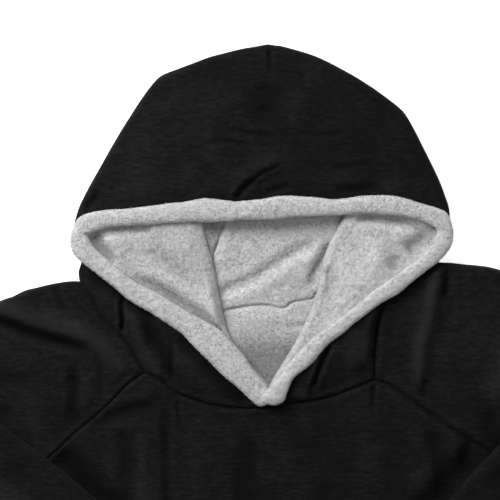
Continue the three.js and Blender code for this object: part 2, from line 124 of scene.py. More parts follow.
# The sherpa band round the face opening: its outer and inner edge, first along the top from the
# centre seam to the corner, then down the side to the point of the V
BAND_OUTER = {
    "left": (
        [
            (-31, 395), (-2, 398), (27, 402), (53, 400), (71, 398), (100, 401), (126, 402),
            (152, 396), (181, 385), (189, 367),
        ],
        [
            (189, 367), (187, 353), (176, 337), (161, 326), (136, 306), (126, 300), (116, 294),
            (103, 284), (89, 273), (80, 265), (64, 254), (48, 235), (31, 221), (25, 210), (21, 199),
        ],
    ),
    "right": (
        [
            (-28, 395), (-48, 398), (-64, 398), (-103, 393), (-129, 389), (-163, 387), (-183, 381),
            (-194, 362),
        ],
        [
            (-194, 362), (-191, 346), (-181, 334), (-157, 316), (-137, 300), (-117, 287), (-97, 274),
            (-81, 262), (-64, 246), (-32, 214), (-9, 194),
        ],
    ),
}
BAND_INNER = {
    "left": (
        [
            (-31, 378), (-2, 378), (19, 379), (45, 381), (69, 382), (96, 384), (136, 381),
            (160, 376), (174, 368),
        ],
        [
            (174, 368), (170, 356), (160, 344), (146, 333), (124, 317), (104, 302), (88, 289),
            (72, 277), (54, 263), (38, 249), (23, 232), (10, 216), (-2, 203),
        ],
    ),
    "right": (
        [
            (-28, 377), (-47, 376), (-77, 375), (-103, 374), (-131, 372), (-160, 369), (-177, 363),
        ],
        [
            (-177, 363), (-170, 350), (-154, 337), (-137, 322), (-121, 311), (-98, 299), (-77, 287),
            (-51, 272), (-31, 254), (-11, 230), (6, 208),
        ],
    ),
}
BAND_TOP_SHARE = 0.46
BAND_MID = {"left": 16.8, "right": 15.8}
BAND_HALF_HEIGHT = 4.4

# Where the side linings fold in over the neck
LINING_FOLD = {
    "left": [(84, 386), (66, 355), (58, 331), (54, 308), (44, 281), (29, 251), (9, 218), (2, 204)],
    "right": [
        (-66, 384), (-61, 368), (-56, 350), (-51, 334), (-44, 298), (-37, 268), (-24, 245),
        (3, 214), (6, 209),
    ],
}

# Folds, each as the line it follows, how far it lifts the cloth (a trough sinks it) and how far
# it reaches to either side
FRONT_FOLDS = [
    ([(-166, 173), (-147, 182), (-128, 188), (-106, 190)], -2.6, 6),
    ([(-150, 168), (-136, 150), (-137, 98), (-142, 0)], -2.0, 8),
    ([(-122, 176), (-121, 98), (-126, 10)], 2.0, 8),
    ([(-98, 192), (-97, 98), (-94, -20)], -2.3, 4.5),
    ([(-86, 199), (-84, 168)], -2.2, 2),
    ([(-66, 190), (-66, 90), (-60, -60)], 1.4, 12),
    ([(-14, 184), (-14, 98), (-8, -60), (0, -240)], -1.8, 10),
    ([(24, 186), (26, 60), (20, -120)], 0.8, 16),
    ([(62, 192), (60, 90), (52, -30)], -0.8, 9),
    ([(110, 214), (109, 186)], -2, 2.5),
    ([(112, 200), (104, 120), (96, 20)], 0.8, 14),
    ([(168, 172), (176, 130), (181, 92)], -2.2, 7),
    ([(207, 158), (203, 146), (198, 132)], -3, 4),
    ([(216, 150), (190, 122), (166, 96), (120, 44)], -4.2, 11),
    ([(-208, 146), (-186, 126), (-158, 98), (-110, 50)], -4.4, 13),
    ([(-330, -535), (-312, -340), (-300, -170)], 5.5, 24),
    ([(-278, -538), (-262, -360), (-250, -190)], -3, 20),
    ([(-215, -540), (-205, -230)], 5, 22),
    ([(-105, -548), (-120, -360), (-112, -200)], 5.5, 24),
    ([(-50, -548), (-44, -300)], -3, 18),
    ([(60, -548), (52, -380), (40, -240)], 5, 24),
    ([(170, -540), (184, -340), (180, -190)], 5.5, 22),
    ([(236, -540), (232, -300)], -3, 18),
    ([(300, -540), (284, -340), (270, -150)], 5.5, 24),
    ([(372, -538), (358, -330)], -2.5, 20),
]
SLEEVE_FOLDS = {
    "left": [
        ([(175, 337), (171, 307), (164, 272), (158, 252), (156, 227), (156, 203)], 4.8, 7.5),
        ([(184, 335), (180, 306), (175, 272), (169, 252), (165, 227), (163, 203)], -0.9, 7),
        ([(180, 328), (182, 314), (179, 300)], -3.2, 3.5),
        ([(161, 220), (158, 200)], -3, 2.5),
        ([(207, 160), (199, 146)], -3, 3),
        ([(262, 300), (244, 240), (232, 190)], 4, 14),
        ([(300, 298), (282, 250), (268, 214)], -3, 12),
        ([(122, 284), (122, 250), (122, 226)], -1.2, 6),
        ([(205, 300), (214, 262), (210, 220)], 1, 16),
        ([(226, 190), (232, 160), (240, 130)], -2, 9),
    ],
    "right": [
        (
            [
                (-330, 294), (-264, 288), (-219, 277), (-181, 264), (-159, 249), (-143, 232),
                (-140, 214),
            ],
            4.6, 10,
        ),
        ([(-330, 290), (-264, 276), (-237, 265), (-212, 258), (-190, 252), (-170, 246)], -5.6, 4.4),
        ([(-168, 246), (-164, 228), (-163, 196)], -1.6, 3),
        ([(-190, 236), (-190, 206), (-190, 184), (-185, 168)], -3.4, 4.2),
        ([(-178, 225), (-176, 190)], 1.6, 8),
        ([(-300, 222), (-264, 217), (-230, 217)], -1.8, 5),
        ([(-300, 245), (-258, 240), (-222, 240)], 1.2, 10),
        ([(-208, 313), (-204, 296), (-197, 284)], -1.8, 3),
        ([(-171, 298), (-166, 286), (-160, 276)], -1.6, 2.5),
        ([(-238, 200), (-222, 160)], 1.2, 12),
        ([(-264, 180), (-252, 190)], -1.5, 8),
    ],
}
FOREARM_FOLDS = {
    "left": [
        ([(330, 170), (296, 110), (250, 40)], 4, 22),
        ([(300, 20), (250, -30), (190, -60)], 4.5, 20),
        ([(320, 90), (270, 20), (230, -20)], -3, 14),
        ([(352, 230), (330, 210)], -3, 12),
        ([(225, 112), (238, 122), (252, 118)], -1.5, 8),
    ],
    "right": [
        ([(-340, 150), (-280, 112), (-210, 60)], 4, 22),
        ([(-330, 20), (-240, -30), (-150, -80)], 5, 22),
        ([(-330, 86), (-250, 36), (-180, -10)], -3, 14),
        ([(-362, 210), (-330, 190)], -3, 12),
        ([(-262, 118), (-250, 128), (-236, 124)], -1.5, 9),
    ],
}
HOOD_FOLDS = [
    ([(-28, 398), (-24, 405), (-17, 412), (-9, 418)], -3.4, 3.0),
    ([(-14, 414), (-4, 423), (6, 428), (19, 433)], -2.2, 1.8),
    ([(-31, 412), (-20, 424), (-2, 435), (18, 441)], 1.8, 7),
    ([(-8, 404), (4, 415), (22, 422)], -1.2, 7),
    ([(0, 404), (12, 408), (28, 412)], -2.4, 3),
    ([(66, 430), (84, 431), (110, 433)], -1.5, 3),
    ([(70, 408), (92, 407), (116, 411)], -1.8, 4),
    ([(40, 420), (84, 418), (110, 423)], 1, 6),
    ([(-180, 389), (-165, 402)], -2, 4),
    ([(-40, 468), (-14, 464), (16, 461)], -1.9, 2.6),
    ([(-62, 452), (-38, 456), (-10, 450)], -1.4, 3),
    ([(30, 466), (60, 462), (84, 465)], -1.3, 3),
    ([(2, 514), (0, 470)], -2.2, 15),
    ([(40, 520), (62, 521)], 1.2, 12),
    ([(5, 553), (6, 538), (7, 520)], -2.0, 2),
    ([(-60, 408), (-40, 420), (-26, 440)], 0.8, 10),
    ([(-150, 398), (-100, 412), (-60, 420)], 1, 12),
    ([(120, 406), (140, 414)], 1, 9),
]
# The sides of the hood below its band
COLLAR_FOLDS = [
    ([(-141, 304), (-142, 289), (-141, 277), (-143, 262)], -4.2, 2.3),
    ([(-132, 292), (-129, 272), (-122, 252), (-110, 230), (-98, 216)], 3, 6.5),
    ([(-118, 284), (-111, 262), (-101, 247), (-95, 237), (-93, 216)], -3, 6),
    ([(-92, 262), (-92, 236), (-91, 214)], -2, 2.4),
    ([(-70, 244), (-66, 222), (-60, 206)], 0.8, 9),
    ([(-174, 326), (-150, 308), (-126, 291), (-104, 276)], -4, 6),
    ([(-92, 266), (-64, 243), (-44, 222), (-26, 203), (-12, 192)], -4.2, 8),
    ([(-150, 312), (-158, 300), (-160, 290)], 1, 6),
    ([(66, 254), (60, 240), (54, 224), (48, 206)], -4, 2.6),
    ([(24, 203), (36, 204), (46, 203)], 2.4, 6),
    ([(96, 270), (94, 250), (88, 226)], 1.6, 9),
    ([(80, 240), (76, 222)], -1, 7),
]
# Folds of the sherpa, on the sides that fall in over the neck and on the back of the hood
SIDE_LINING_FOLDS = {
    "left": [
        ([(174, 372), (164, 362), (150, 352), (142, 344)], -3.6, 8),
        ([(134, 342), (128, 326)], -2.5, 8),
        ([(90, 380), (110, 379), (136, 376), (166, 368)], -4, 5),
        ([(78, 350), (86, 320), (78, 284), (60, 256)], 1.5, 12),
        ([(112, 366), (106, 330), (96, 306)], 2, 14),
        ([(60, 330), (66, 316), (60, 296)], -1.5, 7),
    ],
    "right": [
        ([(-172, 366), (-162, 348), (-150, 332)], -5, 6),
        ([(-168, 364), (-140, 368), (-110, 368)], -2.5, 5),
        ([(-112, 350), (-92, 334), (-70, 320)], -1.2, 8),
        ([(-140, 322), (-104, 306), (-78, 289), (-52, 272), (-34, 252), (-14, 226)], -4.5, 7),
        ([(-92, 360), (-74, 348)], 0.8, 9),
        ([(-60, 316), (-52, 290), (-44, 268)], 2, 7),
    ],
}
BACK_LINING_FOLDS = [
    ([(-46, 302), (-34, 310), (-11, 320), (19, 340), (60, 362)], -1.8, 5),
    ([(-40, 296), (-30, 300), (-4, 309), (26, 329), (62, 348)], 1.3, 9),
    ([(68, 356), (60, 342), (50, 324), (46, 310)], -2.8, 5),
    ([(-36, 380), (-38, 356), (-42, 332)], 0.8, 5),
    ([(20, 272), (34, 272), (50, 274)], -1.2, 2.5),
    ([(-30, 280), (0, 282), (30, 284)], 1.2, 8),
]


# Plan lines and patches

def smooth_line(points, steps=12):
    """Close points on a round line through the given ones."""
    p = np.array(points, float)
    p = np.vstack([2 * p[0] - p[1], p, 2 * p[-1] - p[-2]])
    u = np.linspace(0, 1, steps, endpoint=False)[:, None]
    parts = []
    for a, b, c, d in zip(p, p[1:], p[2:], p[3:]):
        bend = (2 * a - 5 * b + 4 * c - d) * u**2 + (3 * b - a - 3 * c + d) * u**3
        parts.append(0.5 * (2 * b + (c - a) * u + bend))
    return np.vstack(parts + [p[-2:-1]])


def through(line):
    """Dense plan points as a function of 0 to 1 along them."""
    run = np.concatenate([[0], np.cumsum(np.hypot(*np.diff(line, axis=0).T))])
    marks = run / run[-1]
    return lambda t: np.stack([np.interp(t, marks, line[:, k]) for k in (0, 1)], axis=-1)


def route(*stretches):
    """A line in stretches of (points, share of the whole), as a function of 0 to 1."""
    lines = [through(smooth_line(points)) for points, _ in stretches]
    shares = [share for _, share in stretches]
    starts = np.concatenate([[0], np.cumsum(shares)[:-1]]) / sum(shares)

    def at(t):
        t = np.asarray(t, float)
        found = lines[0](np.clip(t * sum(shares) / shares[0], 0, 1))
        for line, start, share in zip(lines[1:], starts[1:], shares[1:]):
            here = line(np.clip((t - start) * sum(shares) / share, 0, 1))
            found = np.where((t >= start)[..., None], here, found)
        return found

    return at


def part_of(line, first, last):
    return lambda t: line(first + (last - first) * np.asarray(t, float))


def straight(a, b):
    a, b = np.array(a, float), np.array(b, float)
    return lambda t: a + (b - a) * np.asarray(t, float)[..., None]


def patch(top, bottom, near, far):
    """Plan points for s across and t down, between four edges."""

    def place(s, t):
        s, t = np.broadcast_arrays(s, t)
        u, v = s[..., None], t[..., None]
        edge = (1 - v) * top(s) + v * bottom(s) + (1 - u) * near(t) + u * far(t)
        corners = (1 - u) * (1 - v) * top(0.0) + u * (1 - v) * top(1.0)
        corners = corners + (1 - u) * v * bottom(0.0) + u * v * bottom(1.0)
        return edge - corners

    return place


# Heights. A grid also keeps a painted shade beside its heights, in the attribute crease: colour
# darker where cloth lies in a crease or seam and lighter where it stands out of it, as shade falls.

def away_from(points, x, y):
    """Distance of each point from a line, and how far along the line it is nearest."""
    line = smooth_line(points)
    d2 = (x[:, None] - line[:, 0]) ** 2 + (y[:, None] - line[:, 1]) ** 2
    nearest = d2.argmin(axis=1)
    return np.sqrt(d2[np.arange(len(nearest)), nearest]), nearest / (len(line) - 1)


def ease(v):
    v = np.clip(v, 0, 1)
    return v * v * (3 - 2 * v)


FOLD_END = 0.2  # share of a fold's length over which it dies out at each end
BANK_SHARE = 0.3  # a trough pushes up a bank beside it, this share of its depth
BANK_AWAY = 2.1  # and this many widths away


def folded(folds, x, y):
    """How far a table of folds lifts each point."""
    total = np.zeros(x.shape)
    for points, height, width in folds:
        away, along = away_from(points, x, y)
        ends = ease(np.minimum(along, 1 - along) / FOLD_END + 0.1)
        total += height * ends * np.exp(-((away / width) ** 2))
        if height < 0:
            bank = np.exp(-(((away - BANK_AWAY * width) / width) ** 2))
            total -= BANK_SHARE * height * ends * bank
    return total


def ripple(x, y, size, height, seed):
    """A soft unevenness of the laid cloth."""
    rng = np.random.default_rng(seed)
    total = np.zeros(x.shape)
    for _ in range(7):
        angle, phase, scale = rng.uniform(0, math.pi), rng.uniform(0, 6.3), rng.uniform(0.6, 1.6)
        wave = (x * math.cos(angle) + y * math.sin(angle)) * 2 * math.pi / (size * scale)
        total += np.sin(wave + phase)
    return height * total / 7


# Seams of the upper layer: how deep and how wide they pull the cloth down
SEAMS = [
    (FRONT_RAGLAN["left"], 3.6, 1.9),
    (FRONT_RAGLAN["right"], 2.2, 1.1),
    (FRONT_NECK, 3.0, 1.3),
    (SIDE_NECK["left"][:3], 1.6, 1.4),
    (SIDE_NECK["left"][2:5], 5.2, 2.2),
    (SIDE_NECK["left"][4:], 3.0, 1.4),
    (SIDE_NECK["right"], 1.6, 1.6),
    (SIDE_NECK["right"][4:], 3.2, 1.4),
]
PUFF = 0.6  # how far the cloth stands up beside a seam
PUFF_AWAY = 3.4  # how far off the seam, in its widths
PUFF_REACH = 2.2  # and how far it spreads, in its widths
DEEPEST = 4.8  # a deeper trough would sink into the layer below
# Patches of painted light, where the plush is coloured lighter as if more light fell there: middle,
# reach and tone
PAINTED_LIGHT_PATCHES = [
    ((-120, 445), 75, 0.3), ((190, 265), 60, 0.22), ((85, 240), 36, 0.2), ((-215, 262), 50, 0.1),
]
PLUSH_SHADE = 6  # height in millimetres that changes the plush's shade by 1
SHERPA_SHADE = 4  # and the flat sherpa's


def painted_light_tone(x, y):
    """How much painted light lightens the plush's colour at each point."""
    total = np.zeros(x.shape)
    for (px, py), reach, tone in PAINTED_LIGHT_PATCHES:
        total += tone * np.exp(-((x - px) ** 2 + (y - py) ** 2) / reach**2)
    return total


def seam_dip(x, y):
    """How far the seams pull the cloth down, and how far it puffs up beside them."""
    dip, puff = np.zeros(x.shape), np.zeros(x.shape)
    for points, depth, width in SEAMS:
        away, _ = away_from(points, x, y)
        dip = np.maximum(dip, depth * np.exp(-((away / width) ** 1.3)))
        beside = (away - PUFF_AWAY * width) / (PUFF_REACH * width)
        puff = np.maximum(puff, PUFF * np.exp(-(beside**2)))
    return puff - dip


def spread(t, start=0.0, end=0.0):
    """Grid lines from 0 to 1, drawn together towards the start, the end or both."""
    t = np.asarray(t, float)
    if start and end:
        return (1 - start) * t + start * (1 - np.cos(math.pi * t)) / 2
    if end:
        return 1 - spread(1 - t, end)
    return (1 - start) * t + start * t**2


# Pieces

def add_grid(bm, cells, place, up=None):
    """Adds a grid whose points place() puts, for s and t from 0 to 1, as x, y, z and shade.

    With up given, its faces are turned to point up (True) or down (False).
    """
    # The painted shade of each point goes into the attribute crease.
    shade = bm.verts.layers.float.get("crease") or bm.verts.layers.float.new("crease")
    made = bmesh.ops.create_grid(bm, x_segments=cells[0], y_segments=cells[1], size=0.5)
    verts = made["verts"]
    spots = np.array([v.co for v in verts])[:, :2]
    low, high = spots.min(axis=0), spots.max(axis=0)
    s, t = ((spots - low) / (high - low)).T
    for vert, (x, y, z, dark) in zip(verts, place(s, t)):
        vert.co = (x * MM, y * MM, z * MM)
        vert[shade] = dark
    if up is not None:
        faces = list({face for vert in verts for face in vert.link_faces})
        for face in faces:
            face.normal_update()
        rise = sum(face.normal.z * face.calc_area() for face in faces)
        if (rise > 0) != up:
            bmesh.ops.reverse_faces(bm, faces=faces)


def at_height(plan_points, z, shade=0.0):
    z = np.asarray(z, float)
    return np.column_stack([plan_points, z, np.broadcast_to(shade, z.shape)])


def new_piece(name, bm, closed=False):
    """A piece from a bmesh, with its doubles merged and its open edges left sharp."""
    bmesh.ops.remove_doubles(bm, verts=bm.verts, dist=0.02 * MM)
    if closed:
        bmesh.ops.recalc_face_normals(bm, faces=bm.faces)
    for edge in bm.edges:
        if edge.is_boundary:
            edge.smooth = False
    mesh = bpy.data.meshes.new(name)
    bm.to_mesh(mesh)
    bm.free()
    mesh.shade_smooth()
    piece = bpy.data.objects.new(name, mesh)
    bpy.context.collection.objects.link(piece)
    return piece


def wall(piece, thickness, inner=0):
    """Gives a piece its thickness, inwards. inner is the material slot of its inner face."""
    solid = piece.modifiers.new("wall", "SOLIDIFY")
    solid.thickness = thickness * MM
    solid.offset = -1
    solid.material_offset = inner
    return piece


def dress(piece, materials, node=None):
    for material in materials:
        piece.data.materials.append(material)
    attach(piece, "root")
    if node:
        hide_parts(node)
    return piece


# Materials

def linear(code):
    """An sRGB hex colour in the linear values that a shader takes."""
    parts = [int(code[i : i + 2], 16) / 255 for i in (1, 3, 5)]
    return [c / 12.92 if c <= 0.04045 else ((c + 0.055) / 1.055) ** 2.4 for c in parts] + [1.0]


def add(tree, kind, inputs, **settings):
    """Adds a node with its settings, and gives its inputs their values or links."""
    node = tree.nodes.new(kind)
    for name, value in settings.items():
        setattr(node, name, value)
    for name, value in inputs.items():
        if isinstance(value, bpy.types.NodeSocket):
            tree.links.new(value, node.inputs[name])
        else:
            node.inputs[name].default_value = value
    return node


def new_material(name):
    material = bpy.data.materials.new(name)
    material.use_nodes = True
    tree = material.node_tree
    tree.nodes.clear()
    return material, tree


def ramp(tree, factor, stops):
    """A colour ramp between (position, hex colour) stops."""
    node = add(tree, "ShaderNodeValToRGB", {"Fac": factor})
    elements = node.color_ramp.elements
    while len(elements) < len(stops):
        elements.new(0.5)
    for element, (position, code) in zip(elements, stops):
        element.position = position
        element.color = linear(code)
    return node.outputs["Color"]


def weigh(tree, parts):
    """The sum of values, each times its weight."""
    total = 0.0
    for value, weight in parts:
        step = add(tree, "ShaderNodeMath", {0: value, 1: weight, 2: total}, operation="MULTIPLY_ADD")
        total = step.outputs[0]
    return total


def plush_fleece():
    """Black plush fleece, knitted and sheared to a 2 mm pile: matt, with brushed streaks across."""
    material, tree = new_material("plush_fleece_black")
    place = add(tree, "ShaderNodeTexCoord", {}).outputs["Object"]
    # The attribute crease is painted shade and light: darker in troughs and seams, lighter on
    # ridges.
    crease = add(tree, "ShaderNodeAttribute", {}, attribute_name="crease").outputs["Fac"]
    # Brushed streaks of the nap, 2 mm high and 7 mm long
    streak = add(tree, "ShaderNodeMapping", {"Vector": place, "Scale": (0.3, 1.0, 1.0)})
    nap = add(tree, "ShaderNodeTexNoise", {
        "Vector": streak.outputs["Vector"], "Scale": 420.0, "Detail": 3.0, "Roughness": 0.6})
    # Shallow wrinkles across, 8 mm high and 50 mm long
    across = add(tree, "ShaderNodeMapping", {"Vector": place, "Scale": (0.15, 1.0, 1.0)})
    wrinkles = add(tree, "ShaderNodeTexNoise", {
        "Vector": across.outputs["Vector"], "Scale": 75.0, "Detail": 2.0, "Roughness": 0.5})
    # Patches of 25 mm where the pile lies another way
    patches = add(tree, "ShaderNodeTexNoise", {
        "Vector": place, "Scale": 38.0, "Detail": 2.0, "Roughness": 0.5})
    tone = weigh(tree, [(nap.outputs["Fac"], 0.8), (patches.outputs["Fac"], 0.4), (crease, 0.48)])
    colour = ramp(tree, tone, [(0.15, "#020202"), (0.6, "#0f0f10"), (1.0, "#212123")])
    rough = add(tree, "ShaderNodeBump", {
        "Height": wrinkles.outputs["Fac"], "Strength": 0.6, "Distance": 0.002})
    bump = add(tree, "ShaderNodeBump", {
        "Height": nap.outputs["Fac"], "Strength": 0.45, "Distance": 0.0008,
        "Normal": rough.outputs["Normal"]})
    shader = add(tree, "ShaderNodeBsdfPrincipled", {
        "Base Color": colour, "Roughness": 0.9, "Specular IOR Level": 0.1,
        "Sheen Weight": 0.02, "Sheen Roughness": 0.5, "Normal": bump.outputs["Normal"]})
    add(tree, "ShaderNodeOutputMaterial", {"Surface": shader.outputs["BSDF"]})
    return material


def sherpa(name, dark, middle, light):
    """Grey sherpa, a brushed and curled polyester pile: matt, with tufts of 3 mm and fine fibre."""
    material, tree = new_material(name)
    place = add(tree, "ShaderNodeTexCoord", {}).outputs["Object"]
    # The attribute crease is painted shade and light: darker in troughs, seams and hollows, lighter
    # on ridges.
    crease = add(tree, "ShaderNodeAttribute", {}, attribute_name="crease").outputs["Fac"]
    tufts = add(tree, "ShaderNodeTexNoise", {
        "Vector": place, "Scale": 330.0, "Detail": 3.0, "Roughness": 0.65, "Distortion": 0.6})
    swirls = add(tree, "ShaderNodeTexNoise", {
        "Vector": place, "Scale": 70.0, "Detail": 2.0, "Roughness": 0.5})
    tone = weigh(tree, [(tufts.outputs["Fac"], 0.9), (swirls.outputs["Fac"], 0.2), (crease, 0.5)])
    colour = ramp(tree, tone, [(0.1, dark), (0.55, middle), (0.85, light)])
    bump = add(tree, "ShaderNodeBump", {
        "Height": tufts.outputs["Fac"], "Strength": 0.6, "Distance": 0.0009})
    shader = add(tree, "ShaderNodeBsdfPrincipled", {
        "Base Color": colour, "Roughness": 0.95, "Specular IOR Level": 0.1,
        "Sheen Weight": 0.12, "Sheen Roughness": 0.6, "Normal": bump.outputs["Normal"]})
    add(tree, "ShaderNodeOutputMaterial", {"Surface": shader.outputs["BSDF"]})
    return material


def pale_floor():
    """White studio paper, lit through so that it stays white round the cloth's edges."""
    material, tree = new_material("studio_paper_white")
    shader = add(tree, "ShaderNodeBsdfPrincipled", {
        "Base Color": linear("#f4f4f4"), "Roughness": 0.9, "Specular IOR Level": 0.1,
        "Emission Color": linear("#ffffff"), "Emission Strength": 0.75})
    add(tree, "ShaderNodeOutputMaterial", {"Surface": shader.outputs["BSDF"]})
    return material


PLUSH = plush_fleece()
SHERPA = sherpa("sherpa_grey", "#8a8a8a", "#c0c0c0", "#dadada")
SHERPA_PILE = sherpa("sherpa_pile_grey", "#969696", "#cccccc", "#e8e8e8")


# Camera, light and floor. The photograph is taken from straight above, 500 mm across.
VIEW_CENTRE = (-14.0, 347.5)
VIEW_SIZE = 500.0
CAMERA_HEIGHT = 2000.0
SENSOR = 36.0
FLOOR_DEPTH = 0.4  # below the cloth that lies on it
LAMPS = [
    ("key", (-1300, 1750, 1250), 1100, 68.0),
    ("fill", (1100, -100, 1700), 1800, 7.0),
]
WORLD_LIGHT = 0.2


def set_stage():
    camera = bpy.data.objects.new("camera", bpy.data.cameras.new("camera"))
    camera.data.sensor_width = SENSOR
    camera.data.lens = SENSOR * CAMERA_HEIGHT / VIEW_SIZE
    camera.location = Vector((*VIEW_CENTRE, CAMERA_HEIGHT + CLOTH_TOP)) * MM
    bpy.context.collection.objects.link(camera)
    bpy.context.scene.camera = camera

    bm = bmesh.new()
    bmesh.ops.create_grid(bm, x_segments=1, y_segments=1, size=6.0)
    bmesh.ops.translate(bm, verts=bm.verts, vec=(0, 0, -FLOOR_DEPTH * MM))
    floor = new_piece("floor", bm)
    floor.data.materials.append(pale_floor())

    for name, place, size, power in LAMPS:
        lamp = bpy.data.objects.new(name, bpy.data.lights.new(name, "AREA"))
        lamp.data.size = size * MM
        lamp.data.energy = power
        lamp.location = Vector(place) * MM
        aim = Vector((*VIEW_CENTRE, 0)) * MM - lamp.location
        lamp.rotation_euler = aim.to_track_quat("-Z", "Y").to_euler()
        lamp.visible_camera = False
        bpy.context.collection.objects.link(lamp)

    world = bpy.data.worlds.new("studio")
    world.use_nodes = True
    background = world.node_tree.nodes["Background"]
    background.inputs["Color"].default_value = (1, 1, 1, 1)
    background.inputs["Strength"].default_value = WORLD_LIGHT
    bpy.context.scene.world = world
    bpy.context.scene.view_settings.view_transform = "Standard"


# Body

def body_edges(neck, raglan):
    side = {name: route((raglan[name], 0.42), (SIDE_SEAM[name], 0.58)) for name in SIDES}
    return patch(route((neck, 1)), route((HEM, 1)), side["right"], side["left"])


# Seams of the sherpa: the line, how far it pulls the pile down, and its width
NECK_SEAM = (BACK_NECK, 2.2, 1.6)
CENTRE_SEAM = (LOWER_SEAM, 1.9, 1.4)
DEEP_SHADE = 1.25  # how much painted shade darkens the lining where the neck is deepest


def pulled(seam, x, y):
    """How far a seam pulls the sherpa down."""
    points, depth, width = seam
    away, _ = away_from(points, x, y)
    return -depth * np.exp(-((away / width) ** 2))


def make_back():
    place = body_edges(BACK_NECK, BACK_RAGLAN)

    def shell(s, t):
        return at_height(place(s, t), np.full(s.shape, SHELL))

    def lining(s, t):
        p = place(s, spread(t, 0.85))
        raised = folded(BACK_LINING_FOLDS, *p.T) + pulled(NECK_SEAM, *p.T)
        # Painted shade: the lining is coloured darker down in the V of the neck.
        painted_neck_shade = ease((276 - p[:, 1]) / 46) * ease((p[:, 1] - 150) / 40)
        return at_height(p, LINING_TOP + raised, raised / SHERPA_SHADE - DEEP_SHADE * painted_neck_shade)

    bm = bmesh.new()
    add_grid(bm, (30, 30), shell, up=True)
    piece = wall(new_piece("back_cloth", bm), SHELL - 0.1)
    dress(piece, [PLUSH], "back")

    bm = bmesh.new()
    add_grid(bm, (100, 90), lining, up=True)
    piece = wall(new_piece("back_lining_cloth", bm), PILE - 0.2)
    dress(piece, [SHERPA], "back_lining")
    return piece


HEM_DROP = 3.0  # how far the front's edge turns down at the hem
HEM_LINE = -548


def make_front():
    place = body_edges(FRONT_NECK, FRONT_RAGLAN)

    def lay(s, t):
        p = place(spread(s, 0.85, 0.85), spread(t, 0.9))
        x, y = p.T
        raised = np.maximum(folded(FRONT_FOLDS, x, y) + seam_dip(x, y), -DEEPEST)
        z = CLOTH_TOP + raised + ripple(x, y, 90, 0.9, 3) * ease((200 - y) / 80)
        z -= HEM_DROP * np.exp(-(((y - HEM_LINE) / 5) ** 2))
        # Painted shade from the heights, and patches of painted light.
        return at_height(p, z, raised / PLUSH_SHADE + painted_light_tone(x, y))

    bm = bmesh.new()
    add_grid(bm, (152, 140), lay, up=True)
    piece = wall(new_piece("front_cloth", bm), WALL - 1, inner=1)
    dress(piece, [PLUSH, SHERPA], "front")


# Sleeves: laid tubes that turn over on a crease and come back over the front
ACROSS = 76
ROUND = 5
UPPER_ROWS = 76
TURN_ROWS = 8
FOREARM_ROWS = 30


def ring_spots():
    """Round a sleeve: share across, how far out past the middle line, height and layer."""
    across = np.linspace(0, 1, ACROSS + 1)
    turn = np.linspace(0, math.pi, ROUND + 2)[1:-1]
    front = [(s, 0, TUBE_MID, 1) for s in across]
    under = [(1, TUBE_MID * math.sin(a), TUBE_MID * math.cos(a), a < math.pi / 2) for a in turn]
    back = [(s, 0, -TUBE_MID, 0) for s in across[::-1]]
    over = [(0, -TUBE_MID * math.sin(a), -TUBE_MID * math.cos(a), a > math.pi / 2) for a in turn]
    return np.array(front + under + back + over + front[:1], float)


def ring_place(place, t, spots):
    """Plan points of a ring's spots, kept in from both edges by the tube's radius."""
    s, out = spots[:, 0], spots[:, 1]
    ends = place(np.array([0.0, 1.0]), np.array([t, t]))
    run = ends[1] - ends[0]
    width = np.linalg.norm(run)
    share = (TUBE_MID + s * (width - 2 * TUBE_MID)) / width
    return place(share, np.full(len(s), t)) + out[:, None] * run / width


